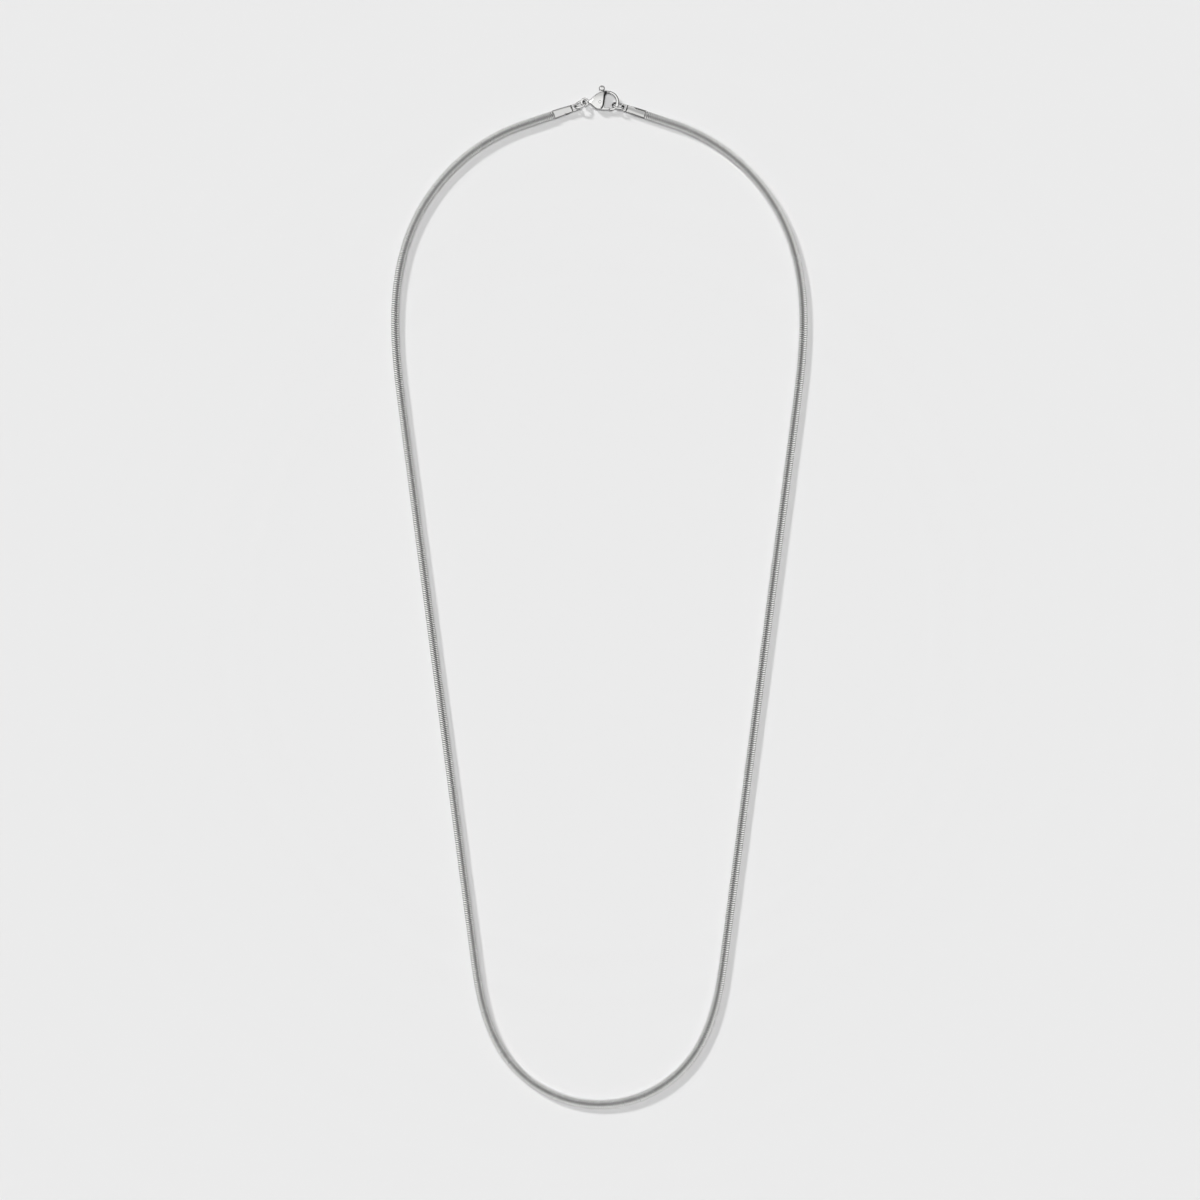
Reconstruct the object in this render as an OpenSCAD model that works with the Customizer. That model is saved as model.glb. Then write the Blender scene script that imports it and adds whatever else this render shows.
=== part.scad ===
// Round snake chain necklace, fastened and laid flat in an egg-shaped loop.
// Millimetres, +Z up from the surface it lies on, +Y towards the clasp.

/* [Chain] */
// Length of the chain between its two end caps
chain_len = 536; // [400:1:760]
// Diameter of the round chain
chain_d = 2; // [1.6:0.1:2.8]
// How much the soldered chain end is drawn in, per side, to enter its cap
neck_step = 0.5; // [0.2:0.05:0.6]
// Length of the drawn-in end inside the cap
neck_len = 2.4; // [1.4:0.1:3.2]
// Slope of the caps and of the chain where it leaves them, below level
cap_slope = 18.5; // [8:0.5:30]

/* [End caps] */
// Wall of the cap's barrel round the chain end
cap_wall = 0.47; // [0.2:0.01:0.6]
// Length of a cap from its mouth to the centre of its tongue's hole
cap_len = 5.4; // [4.8:0.1:8]
// Thickness of the flat tongue
tongue_t = 0.4; // [0.3:0.05:0.5]
// Metal left round the tongue's hole
tongue_rim = 0.25; // [0.15:0.05:0.4]
// Metal left over the chain end where the upper side is pressed flat
facet_wall = 0.07; // [0.04:0.01:0.2]
// Roll of the pressed flat away from level
facet_roll = 20; // [0:1:25]

/* [Jump rings] */
// Outer diameter of a jump ring
ring_d = 3; // [2.8:0.1:4]
// Wire of a jump ring
ring_wire = 0.5; // [0.4:0.01:0.6]
// Room between a leaning ring and the hook that it goes round
ring_room = 0.32; // [0.2:0.01:0.45]
// Direction of the right ring, from the hook down to its cap
right_ring_slope = 16; // [8:1:24]

/* [Clasp] */
// Length of the clasp over its eye and hook
clasp_len = 9; // [8:0.1:12]
// Width of the clasp's body, without the nub
clasp_w = 4.4; // [3.8:0.1:5.4]
// Thickness of the domed body
clasp_t = 2.4; // [1.8:0.1:2.8]
// Wire of the clasp's eye
eye_wire = 0.45; // [0.35:0.01:0.6]
// Thickness of the hook
hook_t = 0.9; // [0.6:0.05:1]
// Thickness of the neck between eye and body
neck_t = 0.8; // [0.6:0.05:1]
// Thickness of the lever plate
lever_t = 0.7; // [0.4:0.05:0.9]
// Diameter of the lever's rivet pin
pin_d = 0.6; // [0.4:0.05:0.8]
// Diameter of the thumb nub's ball
nub_d = 1.4; // [1:0.1:1.8]
// How far the lever turns when it is pressed open
lever_open = 20; // [10:1:24]

/* [Hidden] */
$fn = 48;
STEEL = [0.78, 0.78, 0.77];
BRIGHT_STEEL = [0.86, 0.86, 0.85];

// Clearances
solder_gap = 0.03;
hole_play = 0.1;
eye_play = 0.14;
pin_press_gap = 0.02;
pin_run_gap = 0.04;
slot_gap = 0.05;
gate_gap = 0.08;
swing_gap = 0.15;
nub_gap = 0.08;
floor_gap = 0.01;
over = 1;

// Heights above the surface
neck_d = chain_d - 2 * neck_step;
socket_d = neck_d + 2 * solder_gap;
cap_d = socket_d + 2 * cap_wall;
axis_z = max(chain_d, cap_d) / 2;
ring_r = (ring_d - ring_wire) / 2;
ring_lean = asin((hook_t / 2 + ring_wire / 2 + ring_room) / ring_r);
ring_z = ring_r * sin(ring_lean) + ring_wire / 2 + floor_gap;
clasp_z = clasp_t / 2;

// Where the rings' holes lie: the wire sits a little inside each hole's centre
hole_inset = 0.05;
hole_reach = ring_r + hole_inset;
hole_d = ring_wire / sin(ring_lean) + tongue_t / tan(ring_lean) + 2 * hole_play;
nose_r = hole_d / 2 + tongue_rim;
eye_r = ((ring_wire + eye_wire) / 2 + eye_play) / sin(ring_lean);
eye_out_r = eye_r + eye_wire / 2;

// Clasp outline, measured from the eye's centre: along as a share of the reach, across as a
// share of the width
reach = clasp_len - eye_out_r;
ALONG = 0;
ACROSS = 1;
CHEEK_TABLE = [
    [0.100, 0.090], [0.156, 0.114], [0.218, 0.210], [0.293, 0.341], [0.387, 0.459],
    [0.499, 0.550], [0.599, 0.586], [0.655, 0.570], [0.661, 0.500], [0.626, 0.409],
    [0.599, 0.295], [0.586, 0.136], [0.571, 0.000], [0.559, -0.136], [0.536, -0.273],
    [0.493, -0.377], [0.424, -0.414], [0.355, -0.391], [0.287, -0.314], [0.218, -0.200],
    [0.156, -0.110], [0.100, -0.082]
];
HOOK_TABLE = [
    [0.575, 0.577], [0.640, 0.591], [0.761, 0.568], [0.879, 0.459], [0.960, 0.284],
    [1.000, 0.068], [0.991, -0.136], [0.948, -0.307], [0.867, -0.416], [0.773, -0.448],
    [0.673, -0.443], [0.673, -0.341], [0.767, -0.330], [0.842, -0.277], [0.888, -0.182],
    [0.913, -0.045], [0.914, 0.091], [0.885, 0.239], [0.823, 0.368], [0.736, 0.443],
    [0.648, 0.459], [0.575, 0.447]
];
pivot = [0.44 * reach, -0.027 * clasp_w];
dome_centre = [0.45 * reach, 0.07 * clasp_w];
ring_seat = [0.975 * reach, -0.2 * clasp_w];

// The dome is a ball's cap that falls to the neck's thickness this far from its centre
neck_off = 0.36 * reach;
dome_drop = (clasp_t - neck_t) / 2;
dome_r = (neck_off * neck_off + dome_drop * dome_drop) / (2 * dome_drop);

// The lever: its hub, its stem up to the nub, and its gate's end and lower edge
hub_wall = 0.5;
hub_r = pin_d / 2 + hub_wall;
stem_w = 0.7;
nub_at = [0.499 * reach, 0.55 * clasp_w + nub_d / 2 + nub_gap];
gate_r = 0.337 * reach;
gate_w = 0.45;
gate_low = -0.42 * clasp_w;

// Reach of the lever's edges to the left and right of its pin
foot_left = 0.35;
foot_right = 0.65;
arm_left = 0.3;
arm_right = 0.75;
gate_corner = 0.2;
gate_root = 1.1;

// The left ring leans so that both caps' holes come out level
left_ring_slope = asin((hole_reach * sin(right_ring_slope) - ring_seat[1]) / (2 * hole_reach));
hole_span = 2 * hole_reach * cos(left_ring_slope) + ring_seat[0] + hole_reach * cos(right_ring_slope);
mouth_x = hole_span / 2 + cap_len * cos(cap_slope);

// Half of the loop, from the bottom centre up to the cap: each row is a share of the half
// chain's length, then its bend at the start and at the end, as a share of the row group's most
ROUTE = [
    [0.096, 1, 1],
    [0.099, 1, 0],
    [0.473, 0, 0],
    [0.160, 0, 1],
    [0.145, 1, 1],
    [0.027, 0, 0]
];
SHARE = 0;
BEND_IN = 1;
BEND_OUT = 2;
BOTTOM_ROWS = [0, 1];
TOP_ROWS = [3, 4];
RINGS_IN_ROW = [7, 6, 10, 9, 7, 1];
STEPS_IN_ROW = 24;
TUBE_SIDES = 12;
half_len = chain_len / 2;

// Turning in a group of rows when their most bend is one degree per millimetre
function weight(rows) =
    let (parts = [
             for (i = rows)
                 ROUTE[i][SHARE] * half_len * (ROUTE[i][BEND_IN] + ROUTE[i][BEND_OUT]) / 2
         ])
    parts[0] + parts[1];
bottom_weight = weight(BOTTOM_ROWS);
top_weight = weight(TOP_ROWS);

// Heading at the start of a row and part of the way along it, for sides that lean out by lean
function most_bend(row, lean) =
    row <= max(BOTTOM_ROWS) ? (90 - lean) / bottom_weight
                            : (90 + lean - cap_slope) / top_weight;
function turned(row, part, lean) =
    let (length = ROUTE[row][SHARE] * half_len,
         bend_in = ROUTE[row][BEND_IN],
         bend_gain = ROUTE[row][BEND_OUT] - bend_in)
    most_bend(row, lean) * length * (bend_in * part + bend_gain * part * part / 2);
function heading_at(row, lean, i = 0) =
    i >= row ? 0 : turned(i, 1, lean) + heading_at(row, lean, i + 1);

// Points along one row from a start point, by the midpoint rule
function row_points(row, from, lean, steps) =
    let (start = heading_at(row, lean),
         step = ROUTE[row][SHARE] * half_len / steps)
    [for (i = 0, p = from; i <= steps;
          i = i + 1,
          a = start + turned(row, (i - 0.5) / steps, lean),
          p = p + step * [cos(a), sin(a)]) p];
function row_end(row, from, lean) = row_points(row, from, lean, STEPS_IN_ROW)[STEPS_IN_ROW];
function row_start(row, lean, i = 0, p = [0, 0]) =
    i >= row ? p : row_start(row, lean, i + 1, row_end(i, p, lean));
function end_x(lean) = row_start(len(ROUTE), lean)[0];

// The sides' lean that brings the chain's end to the cap's mouth, by halving
function solve_lean(low, high, tries) =
    let (mid = (low + high) / 2)
    tries == 0 ? mid : (end_x(mid) < mouth_x ? solve_lean(mid, high, tries - 1)
                                             : solve_lean(low, mid, tries - 1));
LEAN_LOW = -10;
LEAN_HIGH = 40;
LEAN_TRIES = 30;
side_lean = solve_lean(LEAN_LOW, LEAN_HIGH, LEAN_TRIES);
mouth_y = row_start(len(ROUTE), side_lean)[1];

// The whole necklace is set so that its box is centred on the origin
holes_y = mouth_y + cap_len * sin(cap_slope);
eye_at = [-hole_span / 2 + 2 * hole_reach * cos(left_ring_slope),
          holes_y + 2 * hole_reach * sin(left_ring_slope)];
top_y = eye_at[1] + nub_at[1] + nub_d / 2;
shift_y = -(top_y - chain_d / 2) / 2;

// Stations of the half route: [x, y, heading]
function station(row, part, lean) =
    let (p0 = row_start(row, lean),
         fine = row_points(row, p0, lean, STEPS_IN_ROW),
         at = part * STEPS_IN_ROW,
         i = min(floor(at), STEPS_IN_ROW - 1),
         p = fine[i] + (at - i) * (fine[i + 1] - fine[i]))
    [p[0], p[1], heading_at(row, lean) + turned(row, part, lean)];
half_stations = [
    for (row = [0:len(ROUTE) - 1])
        for (i = [0:RINGS_IN_ROW[row] - 1])
            station(row, i / RINGS_IN_ROW[row], side_lean)
];
mouth_dir = 180 - cap_slope;
function past_mouth(length) = [mouth_x, mouth_y] + length * [cos(mouth_dir), sin(mouth_dir)];
function end_ring(length, r) = [past_mouth(length)[0], past_mouth(length)[1], mouth_dir, r];
end_rings = [
    end_ring(-solder_gap, chain_d / 2),
    end_ring(-solder_gap, neck_d / 2),
    end_ring(neck_len, neck_d / 2)
];
right_rings = concat([for (s = half_stations) [s[0], s[1], s[2], chain_d / 2]], end_rings);
left_rings = [for (i = [len(right_rings) - 1:-1:1])
    [-right_rings[i][0], right_rings[i][1], -right_rings[i][2], right_rings[i][3]]];
rings = concat(left_rings, right_rings);

// A closed tube through rings of [x, y, heading, radius]
function ring_points(ring) = [
    for (k = [0:TUBE_SIDES - 1])
        let (a = 360 * k / TUBE_SIDES)
        [ring[0] + ring[3] * cos(a) * sin(ring[2]),
         ring[1] - ring[3] * cos(a) * cos(ring[2]),
         axis_z + ring[3] * sin(a)]
];
module tube(list) {
    last = (len(list) - 1) * TUBE_SIDES;
    polyhedron(
        points = [for (ring = list) each ring_points(ring)],
        faces = concat(
            [[for (k = [0:TUBE_SIDES - 1]) k]],
            [for (i = [0:len(list) - 2])
                for (k = [0:TUBE_SIDES - 1])
                    let (next = (k + 1) % TUBE_SIDES, a = i * TUBE_SIDES, b = a + TUBE_SIDES)
                    [a + k, b + k, b + next, a + next]],
            [[for (k = [TUBE_SIDES - 1:-1:0]) last + k]]));
}

// The chain, a round strand of closely threaded links, drawn in at each end for its cap
module chain() {
    color(STEEL)
        translate([0, shift_y, 0])
            tube(rings);
}

// One end cap: along +X from its mouth at the origin, with its axis at z = 0. A barrel for the
// chain's end, pressed flat above, cut back below, and a flat tongue with a hole for its ring
facet_z = socket_d / 2 + facet_wall;
tongue_z = ring_z - axis_z;
tongue_low = tongue_z - tongue_t / 2;
shoulder_back = 0.4;
shoulder_x = cap_len - hole_d / 2 - shoulder_back;
barrel_end_r = nose_r + 0.03;
socket_len = neck_len + 0.2;
undercut_x = socket_len + 0.1;
tongue_root_x = undercut_x + 0.5;
BARREL_POINTS = 10;
module barrel() {
    rotate([90, 0, 90])
        rotate_extrude()
            polygon(concat(
                [[0, 0]],
                [for (i = [0:BARREL_POINTS])
                    let (part = i / BARREL_POINTS)
                    [cap_d / 2 - (cap_d / 2 - barrel_end_r) * part * part, shoulder_x * part]],
                [[0, shoulder_x]]));
}
module tongue() {
    translate([0, 0, tongue_low])
        linear_extrude(tongue_t) {
            translate([cap_len, 0])
                circle(nose_r);
            translate([tongue_root_x, -nose_r])
                square([cap_len - tongue_root_x, 2 * nose_r]);
        }
}
module undercut() {
    nose_x = cap_len + nose_r + over;
    rotate([90, 0, 0])
        translate([0, 0, -cap_d])
            linear_extrude(2 * cap_d)
                polygon([
                    [undercut_x, -cap_d / 2],
                    [shoulder_x, tongue_low],
                    [nose_x, tongue_low],
                    [nose_x, -cap_d],
                    [undercut_x, -cap_d]
                ]);
}
module end_cap() {
    difference() {
        union() {
            barrel();
            tongue();
        }
        rotate([facet_roll, 0, 0])
            translate([-over, -cap_d, facet_z])
                cube([shoulder_x + over, 2 * cap_d, cap_d]);
        undercut();
        translate([-over, 0, 0])
            rotate([0, 90, 0])
                cylinder(d = socket_d, h = socket_len + over);
        translate([cap_len, 0, tongue_low - over])
            cylinder(d = hole_d, h = tongue_t + 2 * over);
    }
}
module end_cap_left() {
    color(BRIGHT_STEEL)
        translate([-mouth_x, mouth_y + shift_y, axis_z])
            rotate(cap_slope)
                end_cap();
}
module end_cap_right() {
    color(BRIGHT_STEEL)
        translate([mouth_x, mouth_y + shift_y, axis_z])
            rotate(180 - cap_slope)
                end_cap();
}

// A soldered wire ring, leaning so that its side towards the loop's middle is up
module jump_ring(centre, slope) {
    color(BRIGHT_STEEL)
        translate([centre[0], centre[1] + shift_y, ring_z])
            rotate([0, 0, slope])
                rotate([-ring_lean, 0, 0])
                    rotate_extrude()
                        translate([ring_r, 0])
                            circle(d = ring_wire);
}
module jump_ring_left() {
    middle = hole_reach * [cos(left_ring_slope), sin(left_ring_slope)];
    jump_ring([-hole_span / 2, holes_y] + middle, left_ring_slope);
}
module jump_ring_right() {
    middle = hole_reach * [-cos(right_ring_slope), sin(right_ring_slope)];
    jump_ring([hole_span / 2, holes_y] + middle, -right_ring_slope);
}

// A smooth closed outline through a table's points
function table_point(table, i) =
    let (row = table[(i + len(table)) % len(table)])
    [row[ALONG] * reach, row[ACROSS] * clasp_w];
function smooth(table, steps) = [
    for (i = [0:len(table) - 1])
        for (k = [0:steps - 1])
            let (t = k / steps,
                 a = table_point(table, i - 1),
                 b = table_point(table, i),
                 c = table_point(table, i + 1),
                 d = table_point(table, i + 2))
            b + 0.5 * t * ((c - a) + t * ((2 * a - 5 * b + 4 * c - d) + t * (3 * b - a - 3 * c + d)))
];
module place_clasp() {
    translate([eye_at[0], eye_at[1] + shift_y, clasp_z])
        children();
}
module plate(thickness) {
    translate([0, 0, -thickness / 2])
        linear_extrude(thickness)
            children();
}

// The cast clasp body: an eye, a domed shell with a slot for the lever, and a hook
slot_t = lever_t + 2 * slot_gap;
module domed_shell() {
    drop = dome_r - clasp_t / 2;
    intersection() {
        plate(clasp_t + over)
            polygon(smooth(CHEEK_TABLE, 3));
        translate([dome_centre[0], dome_centre[1], -drop])
            sphere(dome_r, $fn = 96);
        translate([dome_centre[0], dome_centre[1], drop])
            sphere(dome_r, $fn = 96);
    }
}
module hook() {
    difference() {
        plate(hook_t)
            polygon(smooth(HOOK_TABLE, 3));
        translate([pivot[0], pivot[1], 0])
            intersection() {
                cylinder(r = gate_r + gate_gap, h = 2 * clasp_t, center = true);
                translate([0, -2 * gate_r, -clasp_t])
                    cube([2 * gate_r, 2 * gate_r, 2 * clasp_t]);
            }
    }
}
function swung(p, angle) =
    let (d = p - pivot)
    pivot + [d[0] * cos(angle) - d[1] * sin(angle), d[0] * sin(angle) + d[1] * cos(angle)];
module slot() {
    hub_left = pivot[0] - hub_r - swing_gap;
    stem_left = swung([nub_at[0] - stem_w / 2, nub_at[1]], lever_open)[0] - swing_gap;
    stem_right = nub_at[0] + stem_w / 2 + swing_gap;
    heel = [pivot[0] - arm_left - 2 * swing_gap, pivot[1] - hub_r + swing_gap];
    beyond = clasp_w;
    plate(slot_t)
        polygon([
            [hub_left, pivot[1] + 0.1 * clasp_w],
            [stem_left, nub_at[1]],
            [stem_left, nub_at[1] + beyond],
            [stem_right, nub_at[1] + beyond],
            [stem_right, 0.2 * clasp_w],
            [0.6 * reach, 0.12 * clasp_w],
            [reach, 0.12 * clasp_w],
            [reach, -beyond],
            [pivot[0] - swing_gap, -beyond],
            heel,
            [hub_left, pivot[1] - arm_left]
        ]);
}
module clasp_body() {
    color(BRIGHT_STEEL)
        place_clasp() {
            rotate_extrude()
                translate([eye_r, 0])
                    circle(d = eye_wire);
            difference() {
                domed_shell();
                slot();
                translate([pivot[0], pivot[1], -clasp_t])
                    cylinder(d = pin_d + 2 * pin_press_gap, h = 2 * clasp_t);
            }
            difference() {
                hook();
                domed_shell();
            }
        }
}

// The lever: a hub on the pin, a stem with the thumb nub, and the gate that shuts the hook
module lever_outline() {
    translate(pivot)
        circle(hub_r);
    polygon([
        [pivot[0] - foot_left, pivot[1]],
        [nub_at[0] - stem_w / 2, nub_at[1]],
        [nub_at[0] + stem_w / 2, nub_at[1]],
        [pivot[0] + foot_right, pivot[1]]
    ]);
    intersection() {
        polygon([
            [pivot[0] - arm_left, pivot[1]],
            [pivot[0], gate_low + gate_corner],
            [pivot[0] + gate_corner, gate_low],
            [reach, gate_low],
            [reach, gate_low + gate_w],
            [pivot[0] + gate_root, gate_low + gate_w],
            [pivot[0] + arm_right, pivot[1]]
        ]);
        translate(pivot)
            circle(gate_r, $fn = 96);
    }
}
module clasp_lever() {
    color(STEEL)
        place_clasp() {
            difference() {
                plate(lever_t)
                    lever_outline();
                translate([pivot[0], pivot[1], -clasp_t])
                    cylinder(d = pin_d + 2 * pin_run_gap, h = 2 * clasp_t);
            }
            translate([nub_at[0], nub_at[1], 0])
                sphere(d = nub_d);
        }
}

// The rivet pin, ground flush with the shell
module clasp_pin() {
    off = norm(pivot - dome_centre) + pin_d / 2;
    half = clasp_t / 2 - dome_r + sqrt(dome_r * dome_r - off * off);
    color(BRIGHT_STEEL)
        place_clasp()
            translate([pivot[0], pivot[1], -half])
                cylinder(d = pin_d, h = 2 * half);
}

chain();
end_cap_left();
end_cap_right();
jump_ring_left();
jump_ring_right();
clasp_body();
clasp_lever();
clasp_pin();
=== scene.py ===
import math

import bpy
import numpy as np
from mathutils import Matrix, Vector


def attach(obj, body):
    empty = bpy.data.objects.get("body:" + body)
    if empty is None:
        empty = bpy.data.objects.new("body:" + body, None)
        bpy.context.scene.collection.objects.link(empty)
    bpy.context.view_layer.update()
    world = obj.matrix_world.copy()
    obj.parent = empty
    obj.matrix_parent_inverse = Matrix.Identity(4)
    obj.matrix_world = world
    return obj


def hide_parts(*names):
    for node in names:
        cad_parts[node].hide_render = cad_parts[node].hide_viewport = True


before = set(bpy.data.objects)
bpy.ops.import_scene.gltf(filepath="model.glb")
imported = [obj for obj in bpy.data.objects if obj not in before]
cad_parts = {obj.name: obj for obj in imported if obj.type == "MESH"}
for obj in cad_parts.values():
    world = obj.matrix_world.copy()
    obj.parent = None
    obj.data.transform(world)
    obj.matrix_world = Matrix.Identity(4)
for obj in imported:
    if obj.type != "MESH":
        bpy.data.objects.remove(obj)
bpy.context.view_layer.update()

# Chain
# The real chain is a round strand of about 1240 saddle-shaped bands, stamped from thin
# stainless steel, threaded into one another and pressed round, so that the strand bends evenly.
# Each band is made at its own place along the loop, and the bands are joined in six lengths.
MM = 0.001
CHAIN_LENGTH = 536.0
CHAIN_RADIUS = 1.0
CAP_SLOPE = math.radians(18.5)
SIDE_LEAN = math.radians(7.47434)
LOOP_LOW_Y = -119.396
PATH_STEPS = 26800

# Half of the loop, from its lowest point up to the cap: a share of the half length, then the
# bend at the start and the end of that share, as parts of the most bend at that end of the loop
ROUTE = [
    (0.096, 1, 1),
    (0.099, 1, 0),
    (0.473, 0, 0),
    (0.160, 0, 1),
    (0.145, 1, 1),
    (0.027, 0, 0),
]
LOW_BEND_SHARE = ROUTE[0][0] + ROUTE[1][0]


def half_loop():
    """Distance from the lowest point, x, y and heading along the right half, in millimetres."""
    share = (np.arange(PATH_STEPS) + 0.5) / PATH_STEPS
    bend = np.zeros(PATH_STEPS)
    start = 0.0
    for length, bend_in, bend_out in ROUTE:
        part = (share - start) / length
        here = (part >= 0) & (part < 1)
        bend[here] = bend_in + (bend_out - bend_in) * part[here]
        start += length
    low = share < LOW_BEND_SHARE
    bend[low] *= (math.pi / 2 - SIDE_LEAN) / bend[low].sum()
    bend[~low] *= (math.pi / 2 + SIDE_LEAN - CAP_SLOPE) / bend[~low].sum()
    heading = np.cumsum(bend) - bend / 2
    step = CHAIN_LENGTH / 2 / PATH_STEPS
    x = np.cumsum(np.cos(heading)) * step
    y = np.cumsum(np.sin(heading)) * step + LOOP_LOW_Y
    return share * CHAIN_LENGTH / 2, x, y, heading


PATH_D, PATH_X, PATH_Y, PATH_HEADING = half_loop()


def along_chain(distance):
    """Centre x, y and heading at distances from the chain's left end."""
    from_low = distance - CHAIN_LENGTH / 2
    side = np.where(from_low < 0, -1.0, 1.0)
    x = side * np.interp(np.abs(from_low), PATH_D, PATH_X)
    y = np.interp(np.abs(from_low), PATH_D, PATH_Y)
    heading = side * np.interp(np.abs(from_low), PATH_D, PATH_HEADING)
    return x, y, heading


def round_chain(distance, angle, radius):
    """Points at an angle from the top, towards the loop's outside, round the chain's middle line."""
    x, y, heading = along_chain(distance)
    out = radius * np.sin(angle)
    return np.stack(
        [x + out * np.sin(heading), y - out * np.cos(heading), CHAIN_RADIUS + radius * np.cos(angle)],
        axis=-1,
    )


def make_piece(name, points, faces, normals=None):
    """A smooth shaded mesh object from points in millimetres."""
    mesh = bpy.data.meshes.new(name)
    mesh.from_pydata((np.asarray(points) * MM).tolist(), [], np.asarray(faces).tolist())
    mesh.shade_smooth()
    if normals is not None:
        mesh.normals_split_custom_set_from_vertices(normals.tolist())
    piece = bpy.data.objects.new(name, mesh)
    bpy.context.scene.collection.objects.link(piece)
    return piece


def grid_faces(rows, columns, closed_rows=False, closed_columns=True):
    """Quads over a grid of points numbered row by row."""
    row_count = rows if closed_rows else rows - 1
    column_count = columns if closed_columns else columns - 1
    row, column = np.meshgrid(np.arange(row_count), np.arange(column_count), indexing="ij")
    next_row, next_column = (row + 1) % rows, (column + 1) % columns
    corners = [
        row * columns + column,
        row * columns + next_column,
        next_row * columns + next_column,
        next_row * columns + column,
    ]
    return np.stack(corners, axis=-1).reshape(-1, 4)


BAND_COUNT = 1244
BAND_PITCH = CHAIN_LENGTH / BAND_COUNT
BAND_SHIFT = BAND_PITCH / 4
# The painted shade of the dark seam along the top, which stands in for the dark that the steel mirrors
# there: its most shade, its turn from the top and its width
SHADE_MOST = 0.56
SHADE_TURN = math.radians(-13)
SHADE_WIDTH = math.radians(17)
SEAM_SHARPNESS = 3.2
SEAM_DIP = 0.035
CHAIN_END_GAP = 0.03
CHAIN_LENGTHS = 6
SEAM_STEPS = np.radians([0, 4, 8, 13, 20, 30, 45, 60, 70, 77, 82, 86])
BAND_ANGLES = np.concatenate([SEAM_STEPS + quarter * math.pi / 2 for quarter in range(4)])
# Across one band: its place along the chain as a share of the pitch, its depth and its painted shade,
# which darkens the groove between the bands
BAND_PROFILE = np.array([
    (-0.54, 0.180, 1.0),
    (-0.36, 0.065, 0.85),
    (-0.20, 0.016, 0.15),
    (0.0, 0.000, 0.0),
    (0.20, 0.016, 0.15),
    (0.36, 0.065, 0.85),
    (0.54, 0.180, 1.0),
])


def band_points(number):
    """All points of the bands with these numbers: band, across the band, round the chain."""
    wave = np.tanh(SEAM_SHARPNESS * np.sin(2 * BAND_ANGLES)) / math.tanh(SEAM_SHARPNESS)
    middle = (number + 0.5) * BAND_PITCH
    distance = (
        middle[:, None, None]
        + BAND_PROFILE[None, :, None, 0] * BAND_PITCH
        + wave[None, None, :] * BAND_SHIFT
    )
    radius = CHAIN_RADIUS - BAND_PROFILE[None, :, None, 1] - SEAM_DIP * (1 - np.abs(wave))
    distance = np.clip(distance, CHAIN_END_GAP, CHAIN_LENGTH - CHAIN_END_GAP)
    radius = np.broadcast_to(radius, distance.shape)
    angle = np.broadcast_to(BAND_ANGLES, distance.shape)
    return round_chain(distance, angle, radius).reshape(-1, 3)


def put(tree, kind, sockets=None, **settings):
    """A new node in a tree, with the values of its settings and of its input sockets."""
    made = tree.nodes.new(kind)
    for name, value in settings.items():
        setattr(made, name, value)
    for name, value in (sockets or {}).items():
        made.inputs[name].default_value = value
    return made


# Marks that handling leaves on polished steel: soft smudges and fine hairlines
steel_marks = bpy.data.node_groups.new("steel_marks", "ShaderNodeTree")
steel_marks.interface.new_socket("Marks per metre", in_out="INPUT", socket_type="NodeSocketFloat")
steel_marks.interface.new_socket("Smudge", in_out="OUTPUT", socket_type="NodeSocketFloat")
steel_marks.interface.new_socket("Hairlines", in_out="OUTPUT", socket_type="NodeSocketFloat")
marks_in = put(steel_marks, "NodeGroupInput")
marks_out = put(steel_marks, "NodeGroupOutput")
place = put(steel_marks, "ShaderNodeTexCoord")
scaled = put(steel_marks, "ShaderNodeVectorMath", operation="SCALE")
smudge = put(steel_marks, "ShaderNodeTexNoise",
             {"Scale": 1.0, "Detail": 4.0, "Roughness": 0.6, "Distortion": 0.8})
stretch = put(steel_marks, "ShaderNodeMapping",
              {"Scale": (9.0, 1.2, 4.0), "Rotation": (0.3, 0.5, 0.7)})
lines = put(steel_marks, "ShaderNodeTexNoise",
            {"Scale": 1.6, "Detail": 5.0, "Roughness": 0.7, "Distortion": 0.3})
steel_marks.links.new(place.outputs["Object"], scaled.inputs[0])
steel_marks.links.new(marks_in.outputs["Marks per metre"], scaled.inputs["Scale"])
steel_marks.links.new(scaled.outputs["Vector"], smudge.inputs["Vector"])
steel_marks.links.new(scaled.outputs["Vector"], stretch.inputs["Vector"])
steel_marks.links.new(stretch.outputs["Vector"], lines.inputs["Vector"])
steel_marks.links.new(smudge.outputs["Fac"], marks_out.inputs["Smudge"])
steel_marks.links.new(lines.outputs["Fac"], marks_out.inputs["Hairlines"])


def marked_metal(name, marks_per_metre, smudges, gloss, relief, relief_from="Hairlines"):
    """Metal whose smudges change its roughness and whose marks change its relief."""
    made = bpy.data.materials.new(name)
    made.use_nodes = True
    tree = made.node_tree
    shader = tree.nodes["Principled BSDF"]
    shader.inputs["Metallic"].default_value = 1.0
    marks = put(tree, "ShaderNodeGroup", node_tree=steel_marks)
    marks.inputs["Marks per metre"].default_value = marks_per_metre
    rough = put(tree, "ShaderNodeMapRange", {
        "From Min": smudges[0], "From Max": smudges[1], "To Min": gloss[0], "To Max": gloss[1]})
    bump = put(tree, "ShaderNodeBump", {"Strength": relief[0], "Distance": relief[1]})
    tree.links.new(marks.outputs["Smudge"], rough.inputs["Value"])
    tree.links.new(rough.outputs["Result"], shader.inputs["Roughness"])
    tree.links.new(marks.outputs[relief_from], bump.inputs["Height"])
    tree.links.new(bump.outputs["Normal"], shader.inputs["Normal"])
    return made, tree, shader


# The steel's own colour, and the colour of the painted shade in the grooves and along the top seam
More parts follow.
